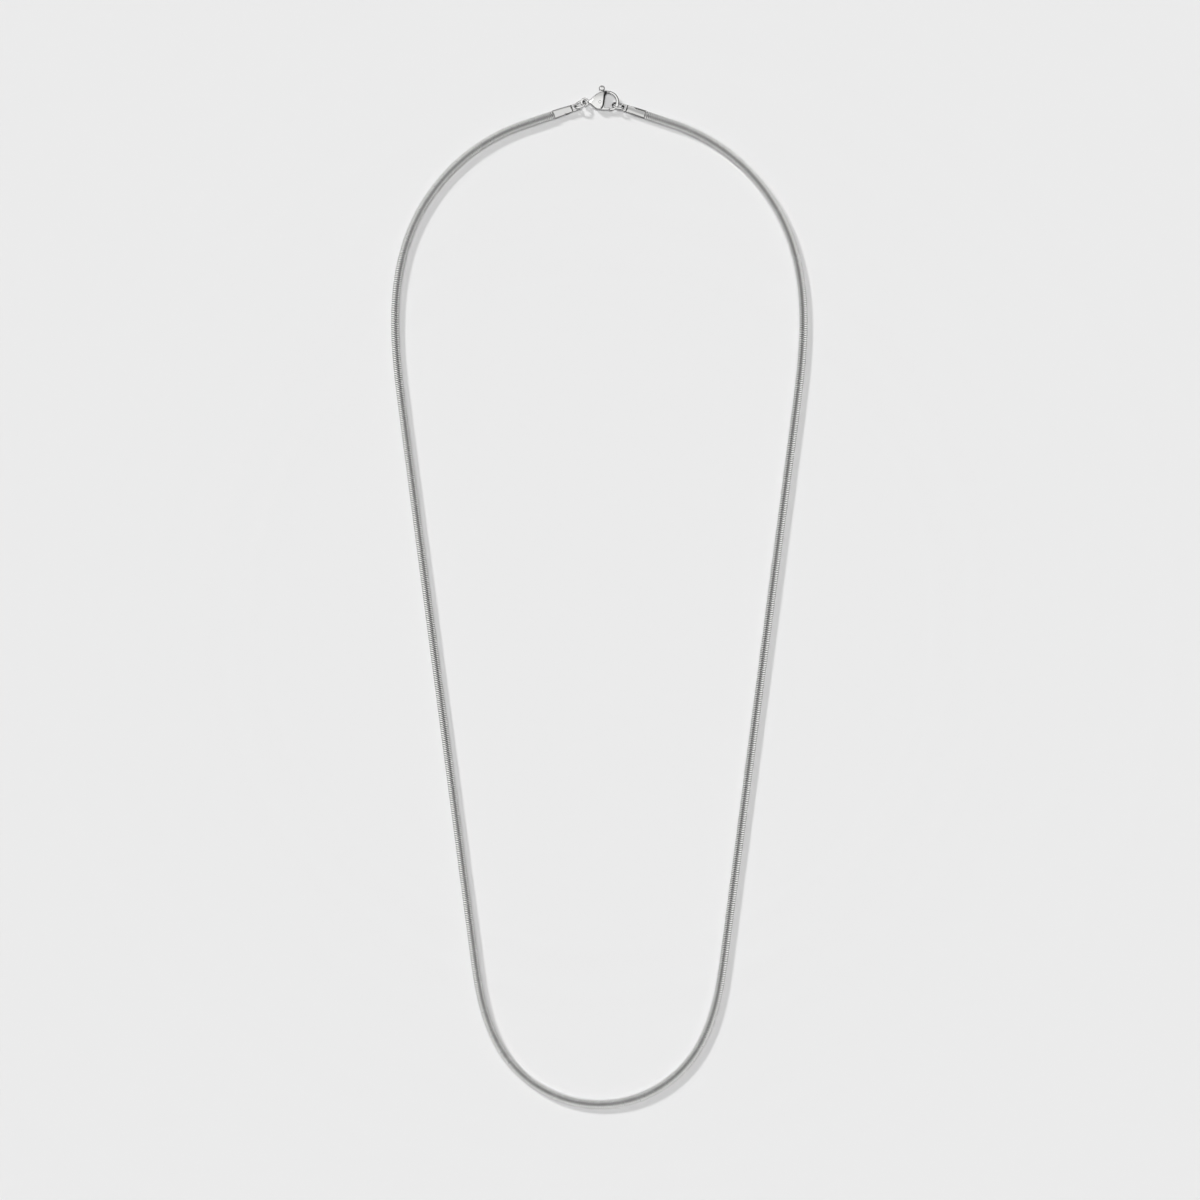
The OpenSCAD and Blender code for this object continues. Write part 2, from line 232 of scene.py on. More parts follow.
CHAIN_BRIGHT = (0.97, 0.97, 0.955, 1)
CHAIN_SHADE_PAINT = (0.03, 0.03, 0.03, 1)
chain_steel, tree, shader = marked_metal("chain_steel", 700, (0.3, 0.7), (0.16, 0.32), (0.25, 0.00001))
painted_band_shade = put(tree, "ShaderNodeAttribute", attribute_name="painted_band_shade")
colour = put(tree, "ShaderNodeMix", {6: CHAIN_BRIGHT, 7: CHAIN_SHADE_PAINT}, data_type="RGBA")
tree.links.new(painted_band_shade.outputs["Fac"], colour.inputs[0])
tree.links.new(colour.outputs[2], shader.inputs["Base Color"])

band_faces = grid_faces(len(BAND_PROFILE), len(BAND_ANGLES))
points_in_band = len(BAND_PROFILE) * len(BAND_ANGLES)
# How much painted shade each point gets, from the groove in its band and from the seam along the top
from_seam = (BAND_ANGLES - SHADE_TURN + math.pi / 2) % math.pi - math.pi / 2
painted_seam_shade = SHADE_MOST * np.exp(-(from_seam / SHADE_WIDTH) ** 2 / 2)
shade = 1 - np.outer(1 - BAND_PROFILE[:, 2], 1 - painted_seam_shade).ravel()
for length_number, numbers in enumerate(np.array_split(np.arange(BAND_COUNT), CHAIN_LENGTHS)):
    faces = band_faces[None] + np.arange(len(numbers))[:, None, None] * points_in_band
    piece = make_piece(f"chain_bands_{length_number + 1}", band_points(numbers), faces.reshape(-1, 4))
    attribute = piece.data.attributes.new("painted_band_shade", "FLOAT", "POINT")
    attribute.data.foreach_set("value", np.tile(shade, len(numbers)).astype(np.float32))
    piece.data.materials.append(chain_steel)
    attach(piece, "necklace")
    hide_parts("chain")

# Soldered chain ends
# Each end of the strand is drawn in and filled with solder, so that it makes one plain stub that
# goes into the end cap.
STUB_SIDES = 48
# Along the stub from the cap's mouth, and its radius
STUB_PROFILE = [
    (-0.4, 0.05), (-0.4, 0.70), (-0.1, 0.86), (-0.03, 0.86),
    (-0.03, 0.50), (2.3, 0.50), (2.4, 0.40), (2.4, 0.02),
]
# Each cap's mouth: its place across the loop and the direction in which the cap lies from it
MOUTHS = {"left": (-10.7992, CAP_SLOPE), "right": (10.7992, math.pi - CAP_SLOPE)}
MOUTH_Y = 113.544
SOLDER_GREY = (0.55, 0.55, 0.53, 1)
solder, tree, shader = marked_metal("solder", 1500, (0.3, 0.7), (0.3, 0.5), (0.4, 0.00002), "Smudge")
shader.inputs["Base Color"].default_value = SOLDER_GREY


def turned(profile, sides):
    """Points of a lathe form round the X axis, ring by ring."""
    turn = np.linspace(0, 2 * math.pi, sides, endpoint=False)
    along, radius = np.array(profile).T
    return np.stack([
        np.repeat(along, sides),
        np.outer(radius, np.sin(turn)).ravel(),
        np.outer(radius, np.cos(turn)).ravel(),
    ], axis=-1)


def spun(points, angle):
    """Points turned about the Z axis."""
    x, y, z = points.T
    return np.stack([
        x * math.cos(angle) - y * math.sin(angle),
        x * math.sin(angle) + y * math.cos(angle),
        z,
    ], axis=-1)


for side, (mouth_x, direction) in MOUTHS.items():
    stub = spun(turned(STUB_PROFILE, STUB_SIDES), direction) + (mouth_x, MOUTH_Y, CHAIN_RADIUS)
    faces = grid_faces(len(STUB_PROFILE), STUB_SIDES)[:, ::-1]
    piece = make_piece(f"chain_end_{side}", stub, faces)
    piece.data.materials.append(solder)
    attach(piece, "necklace")
    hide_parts("chain")

# End caps
# Each cap is a short barrel pressed from steel rod and polished, with one flat pressed on top, and
# its end cut back to a drilled tongue. The chain's stub is glued into the barrel.
CAP_RADIUS = 1.0
CAP_FALL = 0.172
SHOULDER_X = 4.452
FLAT_OFF = 0.60
FLAT_EDGE = 0.3
FLAT_ROLL = math.radians(20)
SOCKET_RADIUS = 0.53
SOCKET_LONG = 2.6
CUT_START = (2.7, -1.0)
TONGUE_ROOT = 3.2
TONGUE_LOW = 0.08
TONGUE_HIGH = 0.48
HOLE_X = 5.4
HOLE_RADIUS = 0.548
NOSE_RADIUS = 0.798
CAP_EDGE = 0.08
CUT_EDGE = 0.05
CUT_FILLET = 0.1
SOCKET_EDGE = 0.04
HOLE_EDGE = 0.06
CAP_GREY = (0.74, 0.74, 0.73, 1)
# The room that the skin of a cap is sought in, and the size of its cells
CAP_ROOM = [(-0.15, -1.1, -1.1), (6.35, 1.1, 1.1)]
CAP_CELL = 0.05
# The painted shade in the corner where the tongue leaves the barrel
CORNER_X = 4.56
CORNER_HALF = 0.16
CORNER_FADE = 0.08
CORNER_LOW = TONGUE_LOW + 0.1
# Painted shade on the sides and in the recesses, where the steel mirrors dark surroundings: from what
# slope on, and their colours
SIDE_START = 0.85
SIDE_FADE = 0.35
PAINTED_SIDE_SHADE = (0.12, 0.12, 0.12, 1)
PAINTED_SHADE_COLOUR = (0.04, 0.04, 0.04, 1)
# How a skin settles on its form: its moves, the reach of its slopes and the least steepness
SKIN_MOVES = 2
SLOPE_REACH = 0.2
LEAST_STEEPNESS = 0.25


def both(a, b, radius):
    """What two forms share, with the edge between them rounded."""
    corner = np.hypot(np.maximum(a + radius, 0), np.maximum(b + radius, 0))
    return np.minimum(np.maximum(a, b), -radius) + corner


def either(a, b, radius):
    """Two forms together, with a fillet between them."""
    return -both(-a, -b, radius)


def skin(form, low, high, cell):
    """Points, normals and faces of the surface where a form's distance is nought."""
    low = np.array(low)
    x, y, z = (np.arange(a, b + cell, cell) for a, b in zip(low, high))
    value = form(x[:, None, None], y[None, :, None], z[None, None, :])
    inside = value < 0
    step = np.array([(i, j, k) for i in (0, 1) for j in (0, 1) for k in (0, 1)])
    size = np.array(inside.shape) - 1
    filled = sum(
        inside[i:size[0] + i, j:size[1] + j, k:size[2] + k].astype(int) for i, j, k in step
    )
    cells = np.argwhere((filled > 0) & (filled < 8))
    number = np.full(inside.shape, -1)
    number[tuple(cells.T)] = np.arange(len(cells))

    at_corner = value[tuple(np.moveaxis(cells[:, None] + step, -1, 0))]
    middle = np.zeros((len(cells), 3))
    hits = np.zeros(len(cells))
    for a in range(8):
        for b in range(a + 1, 8):
            if np.abs(step[a] - step[b]).sum() != 1:
                continue
            crossed = (at_corner[:, a] < 0) != (at_corner[:, b] < 0)
            share = np.where(crossed, at_corner[:, a], 0) / np.where(
                crossed, at_corner[:, a] - at_corner[:, b], 1)
            middle += crossed[:, None] * (step[a] + share[:, None] * (step[b] - step[a]))
            hits += crossed
    points = low + (cells + middle / hits[:, None]) * cell

    near = SLOPE_REACH * cell
    for move in range(SKIN_MOVES + 1):
        slope = np.empty_like(points)
        for axis in range(3):
            shift = near * np.eye(3)[axis]
            slope[:, axis] = (form(*(points + shift).T) - form(*(points - shift).T)) / (2 * near)
        steepness = np.maximum((slope ** 2).sum(axis=1), LEAST_STEEPNESS)
        if move < SKIN_MOVES:
            points -= np.clip(form(*points.T) / steepness, -cell, cell)[:, None] * slope
    normals = slope / np.sqrt((slope ** 2).sum(axis=1))[:, None]

    faces = []
    for axis in range(3):
        along, across, up = np.eye(3, dtype=int)[[axis, (axis + 1) % 3, (axis + 2) % 3]]
        here = inside[tuple(slice(0, -1) if n == axis else slice(1, -1) for n in range(3))]
        there = inside[tuple(slice(1, None) if n == axis else slice(1, -1) for n in range(3))]
        start = np.argwhere(here != there) + 1 - along
        quads = np.stack([number[tuple((start - off).T)]
                          for off in (across + up, up, 0 * up, across)], axis=-1)
        out = inside[tuple(start.T)]
        faces += [quads[out], quads[~out][:, ::-1]]
    return points, normals, np.concatenate(faces)


def cap_form(x, y, z):
    """Distance to an end cap that lies along X from its mouth."""
    round_x = np.hypot(y, z)
    barrel = round_x - CAP_RADIUS + CAP_FALL * np.clip(x / SHOULDER_X, 0, 1) ** 2
    barrel = both(barrel, np.maximum(-x, x - SHOULDER_X), CAP_EDGE)
    barrel = both(barrel, z * math.cos(FLAT_ROLL) - y * math.sin(FLAT_ROLL) - FLAT_OFF, FLAT_EDGE)
    nose = np.hypot(x - np.clip(x, TONGUE_ROOT, HOLE_X), y) - NOSE_RADIUS
    tongue = both(nose, np.maximum(TONGUE_LOW - z, z - TONGUE_HIGH), CAP_EDGE)
    cut_angle = math.atan2(TONGUE_LOW - CUT_START[1], SHOULDER_X - CUT_START[0])
    above_cut = (x - CUT_START[0]) * math.sin(cut_angle) - (z - CUT_START[1]) * math.cos(cut_angle)
    kept = either(above_cut, TONGUE_LOW - z, CUT_FILLET)
    cap = both(either(barrel, tongue, CAP_EDGE), kept, CUT_EDGE)
    cap = both(cap, -np.maximum(round_x - SOCKET_RADIUS, x - SOCKET_LONG), SOCKET_EDGE)
    return both(cap, HOLE_RADIUS - np.hypot(x - HOLE_X, y), HOLE_EDGE)


def mark_shades(piece, normals, painted_shade=0.0):
    """Marks the painted shade of each point of a piece: how far it is on a side, and the shade given
    for recesses and rims.
    """
    # Painted shade on the sides, which grows as the surface turns steep
    side = np.clip((SIDE_START - np.abs(normals[:, 2])) / SIDE_FADE, 0, 1)
    for kind, values in (("side", side), ("painted_shade", painted_shade + 0 * side)):
        attribute = piece.data.attributes.new(kind, "FLOAT", "POINT")
        attribute.data.foreach_set("value", values.astype(np.float32))


def make_skin(name, points, normals, faces, painted_shade=0.0):
    """A skinned piece with the painted shade of its sides and recesses marked."""
    piece = make_piece(name, points, faces, normals)
    mark_shades(piece, normals, painted_shade)
    return piece


def polished_steel(name, colour, marks_per_metre, smooth, worn, relief):
    """Polished steel with smudges and hairlines, with painted shade on its sides and in its recesses.
    """
    made, tree, shader = marked_metal(
        name, marks_per_metre, (0.35, 0.65), (smooth, worn), (0.3, relief))
    side = put(tree, "ShaderNodeAttribute", attribute_name="side")
    painted_shade = put(tree, "ShaderNodeAttribute", attribute_name="painted_shade")
    # Painted shade: sides tint towards one dark colour, recesses and rims towards a darker one
    tint = put(tree, "ShaderNodeMix", {6: colour, 7: PAINTED_SIDE_SHADE}, data_type="RGBA")
    darker = put(tree, "ShaderNodeMix", {7: PAINTED_SHADE_COLOUR}, data_type="RGBA")
    tree.links.new(side.outputs["Fac"], tint.inputs[0])
    tree.links.new(painted_shade.outputs["Fac"], darker.inputs[0])
    tree.links.new(tint.outputs[2], darker.inputs[6])
    tree.links.new(darker.outputs[2], shader.inputs["Base Color"])
    return made


cap_steel = polished_steel("cap_steel", CAP_GREY, 500, 0.05, 0.12, 0.000003)
points, normals, faces = skin(cap_form, *CAP_ROOM, CAP_CELL)
# Painted shade in the corner where the tongue leaves the barrel
painted_corner_shade = np.clip((CORNER_HALF - np.abs(points[:, 0] - CORNER_X)) / CORNER_FADE, 0, 1)
painted_corner_shade *= points[:, 2] > CORNER_LOW
for side, (mouth_x, direction) in MOUTHS.items():
    cap_points = spun(points, direction) + (mouth_x, MOUTH_Y, CHAIN_RADIUS)
    piece = make_skin(f"cap_{side}", cap_points, spun(normals, direction), faces, painted_corner_shade)
    piece.data.materials.append(cap_steel)
    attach(piece, "necklace")
    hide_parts(f"end_cap_{side}")

# Jump rings
# Two rings wound from round steel wire, each closed with a bead of solder that stands out a little.
# They lean between the caps' tongues and the clasp, with their southern side up.
RING_RADIUS = 1.25
WIRE_RADIUS = 0.25
RING_Z = 1.28
RING_LEAN = math.radians(54.6864)
RING_STEPS = 96
WIRE_SIDES = 24
SOLDER_SWELL = 0.06
SOLDER_SPREAD = 0.12
RING_GREY = (0.82, 0.82, 0.81, 1)
# Each ring: its middle, its slope and where its solder bead is
RINGS = {
    "left": ((-4.5349, 115.8761), math.radians(28.4427), 2.3),
    "right": ((4.4284, 115.6153), math.radians(-16), 0.9),
}
ring_steel = polished_steel("ring_steel", RING_GREY, 900, 0.05, 0.13, 0.000003)
ring_faces = grid_faces(RING_STEPS, WIRE_SIDES, closed_rows=True)[:, ::-1]
turn = np.linspace(0, 2 * math.pi, RING_STEPS, endpoint=False)[:, None]
round_wire = np.linspace(0, 2 * math.pi, WIRE_SIDES, endpoint=False)[None]
for side, (middle, slope, bead) in RINGS.items():
    wire = WIRE_RADIUS * (1 + SOLDER_SWELL * np.exp(-((turn - bead) / SOLDER_SPREAD) ** 2))
    reach = RING_RADIUS + wire * np.cos(round_wire)
    x, y, z = reach * np.cos(turn), reach * np.sin(turn), wire * np.sin(round_wire)
    leaning_y = y * math.cos(RING_LEAN) + z * math.sin(RING_LEAN)
    leaning_z = z * math.cos(RING_LEAN) - y * math.sin(RING_LEAN)
    leaning = np.stack([x, leaning_y, leaning_z], axis=-1).reshape(-1, 3)
    ring_points = spun(leaning, slope) + (*middle, RING_Z)
    piece = make_piece(f"ring_{side}", ring_points, ring_faces)
    # Painted shade on the wire's sides, as on the other polished steel
    normals = np.empty(3 * len(ring_points), np.float32)
    piece.data.vertices.foreach_get("normal", normals)
    mark_shades(piece, normals.reshape(-1, 3))
    piece.data.materials.append(ring_steel)
    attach(piece, "necklace")
    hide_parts(f"jump_ring_{side}")

# Clasp body
# One casting in steel, tumbled and polished: an eye for the ring, a domed shell that is slotted for
# the lever, and a hook that comes round to the lever's gate.
REACH = 8.02132
CLASP_WIDE = 4.4
CLASP_AT = np.array([-3.392, 116.495, 1.2])
EYE_RADIUS = 0.7537
EYE_WIRE = 0.225
# Outlines, as shares of the reach from the eye and of the clasp's width
SHELL_OUTLINE = [
    (0.100, 0.090), (0.156, 0.114), (0.218, 0.210), (0.293, 0.341), (0.387, 0.459),
    (0.499, 0.550), (0.599, 0.586), (0.655, 0.570), (0.661, 0.500), (0.626, 0.409),
    (0.599, 0.295), (0.586, 0.136), (0.571, 0.000), (0.559, -0.136), (0.536, -0.273),
    (0.493, -0.377), (0.424, -0.414), (0.355, -0.391), (0.287, -0.314), (0.218, -0.200),
    (0.156, -0.110), (0.100, -0.082),
]
HOOK_OUTLINE = [
    (0.575, 0.577), (0.640, 0.591), (0.761, 0.568), (0.879, 0.459), (0.960, 0.284),
    (1.000, 0.068), (0.991, -0.136), (0.948, -0.307), (0.867, -0.416), (0.773, -0.448),
    (0.673, -0.443), (0.673, -0.341), (0.767, -0.330), (0.842, -0.277), (0.888, -0.182),
    (0.913, -0.045), (0.914, 0.091), (0.885, 0.239), (0.823, 0.368), (0.736, 0.443),
    (0.648, 0.459), (0.575, 0.447),
]
DOME_X, DOME_Y = 0.45 * REACH, 0.07 * CLASP_WIDE
DOME_RADIUS = 5.61167
SHELL_HIGH = 1.2
HOOK_HIGH = 0.45
SLOT_HIGH = 0.4
PIVOT_X, PIVOT_Y = 0.44 * REACH, -0.027 * CLASP_WIDE
BORE_RADIUS = 0.32
GATE_REACH = 0.337 * REACH
GATE_GAP = 0.08
SWING_GAP = 0.15
HUB_RADIUS = 0.8
STEM_HALF = 0.35
NUB_X, NUB_Y = 0.499 * REACH, 3.2
LEVER_SWING = math.radians(20)
# The shell's rounded edge, and how much broader it is to the right of a place
SHELL_EDGE = 0.3
BROAD_EDGE = 0.25
BROAD_EDGE_X = 4.0
BROAD_EDGE_RUN = 0.5
HOOK_EDGE = 0.29
HOOK_TIP_EDGE = 0.1
HOOK_FILLET = 0.05
HOOK_INTO_SHELL = 0.05
EYE_FILLET = 0.2
EYE_INTO_SHELL = 0.2
SLOT_EDGE = 0.06
BORE_EDGE = 0.02
CLASP_ROOM = [(-1.1, -2.2, -1.35), (8.2, 2.9, 1.35)]
CLASP_CELL = 0.05
CLASP_GREY = (0.93, 0.93, 0.915, 1)
# The painted shade on the step at the right of the shell, where the steel mirrors dark: which part of
# its outline, how near to it, and from what slope on
STEP_PART = slice(24, 43)
STEP_REACH = 0.65
STEP_START = 0.975
STEP_FADE = 0.06
# The painted dark reflection on the hook's outer rim: where it is, which way it faces and from what
# slope on
RIM_FROM = (0.6 * REACH, -0.15 * CLASP_WIDE)
RIM_WAY = math.radians(35)
RIM_START = 0.22
RIM_FADE = 0.1


def smooth_outline(shares, steps=3):
    """A smooth closed outline through the points that the shares give."""
    b = np.array(shares) * (REACH, CLASP_WIDE)
    a, c, d = np.roll(b, 1, axis=0), np.roll(b, -1, axis=0), np.roll(b, -2, axis=0)
    between = [
        b + 0.5 * t * ((c - a) + t * ((2 * a - 5 * b + 4 * c - d) + t * (3 * b - a - 3 * c + d)))
        for t in np.arange(steps) / steps
    ]
    return np.stack(between, axis=1).reshape(-1, 2)


def outline_form(outline, x, y):
    """Distance to a closed outline, below nought inside it."""
    nearest = np.full(np.broadcast(x, y).shape, np.inf)
    inside = np.zeros(nearest.shape, bool)
    for (ax, ay), (bx, by) in zip(outline, np.roll(outline, -1, axis=0)):
        ex, ey, wx, wy = bx - ax, by - ay, x - ax, y - ay
        share = np.clip((wx * ex + wy * ey) / (ex * ex + ey * ey), 0, 1)
        nearest = np.minimum(nearest, (wx - ex * share) ** 2 + (wy - ey * share) ** 2)
        inside ^= ((ay > y) != (by > y)) & ((wx * ey < ex * wy) == (ey > 0))
    return np.where(inside, -1, 1) * np.sqrt(nearest)


shell_outline = smooth_outline(SHELL_OUTLINE)
hook_outline = smooth_outline(HOOK_OUTLINE)
swung_x = (PIVOT_X + (NUB_X - STEM_HALF - PIVOT_X) * math.cos(LEVER_SWING)
           - (NUB_Y - PIVOT_Y) * math.sin(LEVER_SWING))
stem_left, stem_right = swung_x - SWING_GAP, NUB_X + STEM_HALF + SWING_GAP
hub_left = PIVOT_X - HUB_RADIUS - SWING_GAP
SLOT_OUTLINE = np.array([
    (hub_left, PIVOT_Y + 0.1 * CLASP_WIDE),
    (stem_left, NUB_Y),
    (stem_left, NUB_Y + CLASP_WIDE),
    (stem_right, NUB_Y + CLASP_WIDE),
    (stem_right, 0.2 * CLASP_WIDE),
    (0.6 * REACH, 0.12 * CLASP_WIDE),
    (REACH, 0.12 * CLASP_WIDE),
    (REACH, -CLASP_WIDE),
    (PIVOT_X - SWING_GAP, -CLASP_WIDE),
    (PIVOT_X - 0.3 - 2 * SWING_GAP, PIVOT_Y - HUB_RADIUS + SWING_GAP),
    (hub_left, PIVOT_Y - 0.3),
])


def dome_form(x, y, z):
    """Distance to the dome that closes the shell above, and to the same one below."""
    from_middle = np.sqrt(
        (x - DOME_X) ** 2 + (y - DOME_Y) ** 2 + (np.abs(z) + DOME_RADIUS - SHELL_HIGH) ** 2)
    return from_middle - DOME_RADIUS


def body_form(x, y, z):
    """Distance to the clasp's body, from its eye's middle."""
    up = np.abs(z)
    eye = np.hypot(np.hypot(x, y) - EYE_RADIUS, z) - EYE_WIRE
    edge = SHELL_EDGE + BROAD_EDGE * np.clip((x - BROAD_EDGE_X) / BROAD_EDGE_RUN, 0, 1)
    shell = both(outline_form(shell_outline, x, y), dome_form(x, y, z), edge)
    from_pivot = np.hypot(x - PIVOT_X, y - PIVOT_Y)
    gate_room = np.maximum(from_pivot - GATE_REACH - GATE_GAP, np.maximum(PIVOT_X - x, y - PIVOT_Y))
    hook = both(outline_form(hook_outline, x, y), -gate_room, HOOK_TIP_EDGE)
    hook = np.maximum(both(hook, up - HOOK_HIGH, HOOK_EDGE), -shell - HOOK_INTO_SHELL)
    slot = np.maximum(outline_form(SLOT_OUTLINE, x, y), up - SLOT_HIGH)
    shell = both(both(shell, -slot, SLOT_EDGE), BORE_RADIUS - from_pivot, BORE_EDGE)
    eye = np.maximum(eye, -shell - EYE_INTO_SHELL)
    return either(either(shell, hook, HOOK_FILLET), eye, EYE_FILLET)


clasp_steel = polished_steel("clasp_steel", CLASP_GREY, 350, 0.04, 0.11, 0.000004)
points, normals, faces = skin(body_form, *CLASP_ROOM, CLASP_CELL)
# Painted shade on the step at the right of the shell and painted dark reflection on the hook's outer
# rim
to_step = points[:, None, :2] - shell_outline[None, STEP_PART]
from_step = np.hypot(*to_step.transpose(2, 0, 1)).min(axis=1)
painted_step_shade = np.clip((STEP_START - np.abs(normals[:, 2])) / STEP_FADE, 0, 1)
painted_step_shade *= from_step < STEP_REACH
facing = normals[:, 0] * math.cos(RIM_WAY) + normals[:, 1] * math.sin(RIM_WAY)
painted_rim_shade = np.clip((facing - RIM_START) / RIM_FADE, 0, 1) * (points[:, :2] > RIM_FROM).all(axis=1)
painted_rim_shade *= np.clip((normals[:, 2] - RIM_START) / RIM_FADE, 0, 1)
piece = make_skin("clasp_shell", points + CLASP_AT, normals, faces, np.maximum(painted_step_shade, painted_rim_shade))
piece.data.materials.append(clasp_steel)
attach(piece, "necklace")
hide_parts("clasp_body")

# Lever
# A plate stamped from steel and turned on the pin inside the shell. A ball is brazed to its stem
# for the thumb, and its other arm is the gate that shuts the hook.
LEVER_HIGH = 0.35
LEVER_BORE = 0.34
NUB_RADIUS = 0.7
GATE_LOW = -0.42 * CLASP_WIDE
GATE_WIDE = 0.45
GATE_EDGE = 0.06
HUB_FILLET = 0.1
NUB_FILLET = 0.1
LEVER_EDGE = 0.12
LEVER_ROOM = [(2.6, -2.1, -0.8), (6.5, 4.1, 0.8)]
LEVER_CELL = 0.05
LEVER_GREY = (0.84, 0.84, 0.83, 1)
STEM_OUTLINE = np.array([
    (PIVOT_X - 0.35, PIVOT_Y),
    (PIVOT_X + 0.65, PIVOT_Y),
    (NUB_X + STEM_HALF, NUB_Y),
    (NUB_X - STEM_HALF, NUB_Y),
])
GATE_OUTLINE = np.array([
    (PIVOT_X - 0.3, PIVOT_Y),
    (PIVOT_X, GATE_LOW + 0.2),
    (PIVOT_X + 0.2, GATE_LOW),
    (REACH, GATE_LOW),
    (REACH, GATE_LOW + GATE_WIDE),
    (PIVOT_X + 1.1, GATE_LOW + GATE_WIDE),
    (PIVOT_X + 0.75, PIVOT_Y),
])


def lever_form(x, y, z):
    """Distance to the lever, from the eye's middle."""
    from_pivot = np.hypot(x - PIVOT_X, y - PIVOT_Y)
    gate = both(outline_form(GATE_OUTLINE, x, y), from_pivot - GATE_REACH, GATE_EDGE)
    arms = np.minimum(gate, outline_form(STEM_OUTLINE, x, y))
    plan = either(from_pivot - HUB_RADIUS, arms, HUB_FILLET)
    plan = both(plan, LEVER_BORE - from_pivot, BORE_EDGE)
    plate = both(plan, np.abs(z) - LEVER_HIGH, LEVER_EDGE)
    nub = np.sqrt((x - NUB_X) ** 2 + (y - NUB_Y) ** 2 + z ** 2) - NUB_RADIUS
    return either(plate, nub, NUB_FILLET)


lever_steel = polished_steel("lever_steel", LEVER_GREY, 600, 0.06, 0.15, 0.000003)
points, normals, faces = skin(lever_form, *LEVER_ROOM, LEVER_CELL)
piece = make_skin("lever_plate", points + CLASP_AT, normals, faces)
piece.data.materials.append(lever_steel)
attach(piece, "lever")
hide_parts("clasp_lever")

# Pin
# A short steel pin, pressed through both sides of the shell and ground flush with the dome. The
# lever turns on it.
PIN_RADIUS = 0.30
PIN_EDGE = 0.015
PIN_ROOM = [(3.15, -0.5, -1.3), (3.9, 0.26, 1.3)]
PIN_CELL = 0.03


def pin_form(x, y, z):
    """Distance to the pin, from the eye's middle."""
    from_pivot = np.hypot(x - PIVOT_X, y - PIVOT_Y)
    return both(from_pivot - PIN_RADIUS, dome_form(x, y, z), PIN_EDGE)


pin_steel = polished_steel("pin_steel", CLASP_GREY, 1200, 0.05, 0.13, 0.000003)
points, normals, faces = skin(pin_form, *PIN_ROOM, PIN_CELL)
piece = make_skin("pin", points + CLASP_AT, normals, faces)
piece.data.materials.append(pin_steel)
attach(piece, "necklace")
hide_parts("clasp_pin")

# Floor
# A large sheet of matt white card that the necklace lies on. It lies a hair below the steel, so
# that no two surfaces share a plane.
FLOOR_HALF = 4.0
FLOOR_DROP = 0.00002
FLOOR_CORNERS = [(-1, -1), (1, -1), (1, 1), (-1, 1)]
floor_mesh = bpy.data.meshes.new("floor")
floor_mesh.from_pydata(
    [(x * FLOOR_HALF, y * FLOOR_HALF, -FLOOR_DROP) for x, y in FLOOR_CORNERS],
    [],
    [(0, 1, 2, 3)],
)
floor = bpy.data.objects.new("floor", floor_mesh)
bpy.context.scene.collection.objects.link(floor)
card = bpy.data.materials.new("white_card")
card.use_nodes = True
shader = card.node_tree.nodes["Principled BSDF"]
shader.inputs["Base Color"].default_value = (0.8, 0.8, 0.8, 1)
shader.inputs["Roughness"].default_value = 0.9
shader.inputs["Specular IOR Level"].default_value = 0.0
floor.data.materials.append(card)

# Light
# A broad lamp above and a key lamp at the upper left light the card. The polished steel mirrors
# only a ceiling that is brightest to the south, a low fence of white board round the loop and two
# black cards behind the clasp.
OVERHEAD_STRENGTH = 2.19
OVERHEAD_WIDTH = math.radians(20)
KEY_STRENGTH = 1.67
KEY_WIDTH = math.radians(8)
KEY_FROM = Vector((-1, 1, 1.05))


def lamp(name, strength, width, source):
    """A far lamp that lights the card and isn't mirrored."""
    data = bpy.data.lights.new(name, "SUN")
    data.energy = strength
    data.angle = width
    made = bpy.data.objects.new(name, data)
    made.rotation_mode = "QUATERNION"
    made.rotation_quaternion = Vector(source).to_track_quat("Z", "Y")
    made.visible_glossy = False
    bpy.context.scene.collection.objects.link(made)


lamp("overhead", OVERHEAD_STRENGTH, OVERHEAD_WIDTH, (0, 0, 1))
lamp("key", KEY_STRENGTH, KEY_WIDTH, KEY_FROM)

CEILING_TILT = math.radians(30)
BRIGHT_AXIS = Vector((0, -math.sin(CEILING_TILT), math.cos(CEILING_TILT)))
# Levels by the angle from the bright axis, as a share of half a turn
CEILING_STEPS = [(0.0, 0.92), (0.2, 0.92), (0.3, 0.76), (0.36, 0.6), (0.5, 0.54), (0.6, 0.2)]
# What the camera sees beyond the card, and what lights the card
BEYOND_GREY = (0.83, 0.83, 0.83, 1)
CARD_LIGHT = (0.02, 0.02, 0.02, 1)
world = bpy.data.worlds.new("ceiling")
bpy.context.scene.world = world
world.use_nodes = True
tree = world.node_tree
background = tree.nodes["Background"]
place = put(tree, "ShaderNodeTexCoord")
facing = put(tree, "ShaderNodeVectorMath", {1: BRIGHT_AXIS}, operation="DOT_PRODUCT")
angle = put(tree, "ShaderNodeMath", operation="ARCCOSINE")
share = put(tree, "ShaderNodeMapRange", {"From Max": math.pi})
ceiling = put(tree, "ShaderNodeValToRGB")
path_kind = put(tree, "ShaderNodeLightPath")
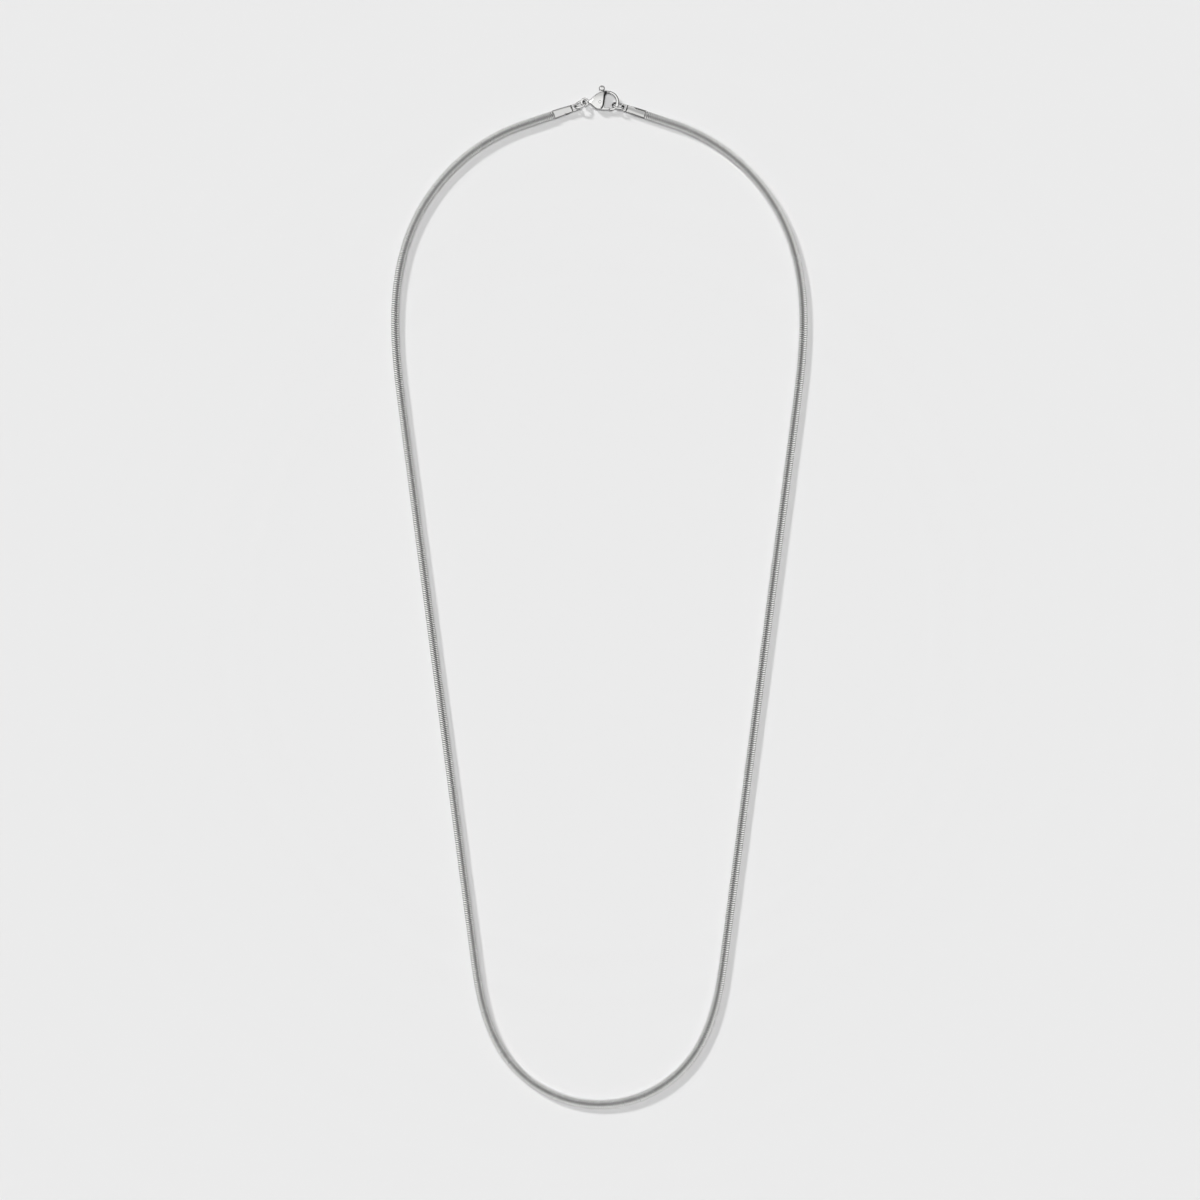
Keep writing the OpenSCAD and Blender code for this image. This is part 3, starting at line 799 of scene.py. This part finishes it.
# A ray that comes from the card sees only the card's light, also by way of the steel, so that the
# mirrored ceiling throws no glow on the card beside the chain
from_card = put(tree, "ShaderNodeMath", operation="MAXIMUM")
seen = put(tree, "ShaderNodeMix", {6: BEYOND_GREY}, data_type="RGBA")
only_mirrored = put(tree, "ShaderNodeMix", {7: CARD_LIGHT}, data_type="RGBA")
for number, (position, level) in enumerate(CEILING_STEPS):
    steps = ceiling.color_ramp.elements
    step = steps[number] if number < 2 else steps.new(position)
    step.position = position
    step.color = (level, level, level, 1)
tree.links.new(place.outputs["Generated"], facing.inputs[0])
tree.links.new(facing.outputs["Value"], angle.inputs[0])
tree.links.new(angle.outputs["Value"], share.inputs["Value"])
tree.links.new(share.outputs["Result"], ceiling.inputs["Fac"])
tree.links.new(path_kind.outputs["Is Glossy Ray"], seen.inputs[0])
tree.links.new(ceiling.outputs["Color"], seen.inputs[7])
tree.links.new(path_kind.outputs["Is Diffuse Ray"], from_card.inputs[0])
tree.links.new(path_kind.outputs["Diffuse Depth"], from_card.inputs[1])
tree.links.new(from_card.outputs["Value"], only_mirrored.inputs[0])
tree.links.new(seen.outputs[2], only_mirrored.inputs[6])
tree.links.new(only_mirrored.outputs[2], background.inputs["Color"])


def mirrored_only(name, x, y, low, high, level):
    """A standing board of this brightness that only shows mirrored in the steel."""
    points = np.concatenate([
        np.stack([x, y, np.full(len(x), height)], axis=-1) for height in (low, high)
    ])
    made = make_piece(name, points, grid_faces(2, len(x), closed_columns=False))
    board = bpy.data.materials.new(f"{name}_board")
    board.use_nodes = True
    tree = board.node_tree
    tree.nodes.remove(tree.nodes["Principled BSDF"])
    path_kind = put(tree, "ShaderNodeLightPath")
    strength = put(tree, "ShaderNodeMapRange", {"To Min": level, "To Max": 0.0})
    glow = put(tree, "ShaderNodeEmission")
    tree.links.new(path_kind.outputs["Diffuse Depth"], strength.inputs["Value"])
    tree.links.new(strength.outputs["Result"], glow.inputs["Strength"])
    tree.links.new(glow.outputs["Emission"], tree.nodes["Material Output"].inputs["Surface"])
    made.data.materials.append(board)
    made.visible_camera = False
    made.visible_diffuse = False
    made.visible_shadow = False
    made.visible_transmission = False


FENCE_AWAY = 25.0
FENCE_LEVEL = 1.15
FENCE_LOW = 0.5
FENCE_POSTS = 269
# The fence's height at distances from the chain's nearer end
FENCE_HIGH = [(0.0, 30.0), (10.0, 36.0), (14.0, 60.0)]
fence_at = np.linspace(0, CHAIN_LENGTH, FENCE_POSTS)
fence_high = np.interp(np.minimum(fence_at, CHAIN_LENGTH - fence_at), *np.transpose(FENCE_HIGH))
x, y, heading = along_chain(fence_at)
x, y = x + FENCE_AWAY * np.sin(heading), y - FENCE_AWAY * np.cos(heading)
mirrored_only("fence", x, y, FENCE_LOW, fence_high, FENCE_LEVEL)

# Black cards behind the clasp: from one direction to the next, and how high they reach
FLAG_MIDDLE = (1.5, 116.0)
FLAG_AWAY = 12.5
FLAG_LOW = 2.6
FLAG_POSTS = 25
FLAGS = [(8, 60, 7.0), (60, 150, 4.0)]
for number, (first, last, high) in enumerate(FLAGS):
    turn = np.radians(np.linspace(first, last, FLAG_POSTS))
    x = FLAG_MIDDLE[0] + FLAG_AWAY * np.cos(turn)
    y = FLAG_MIDDLE[1] + FLAG_AWAY * np.sin(turn)
    mirrored_only(f"flag_{number + 1}", x, y, FLAG_LOW, high, 0.0)

# Camera
# Straight above the middle of the loop and looking down, as in the photograph. Its long lens
# keeps the thin chain free of perspective.
CAMERA_PLACE = (0.000165, -0.00061, 0.785)
CAMERA_LENS = 100
CAMERA_SENSOR = 36
camera_data = bpy.data.cameras.new("camera")
camera_data.lens = CAMERA_LENS
camera_data.sensor_width = CAMERA_SENSOR
camera = bpy.data.objects.new("camera", camera_data)
camera.location = CAMERA_PLACE
bpy.context.scene.collection.objects.link(camera)
bpy.context.scene.camera = camera
bpy.context.scene.view_settings.view_transform = "Standard"
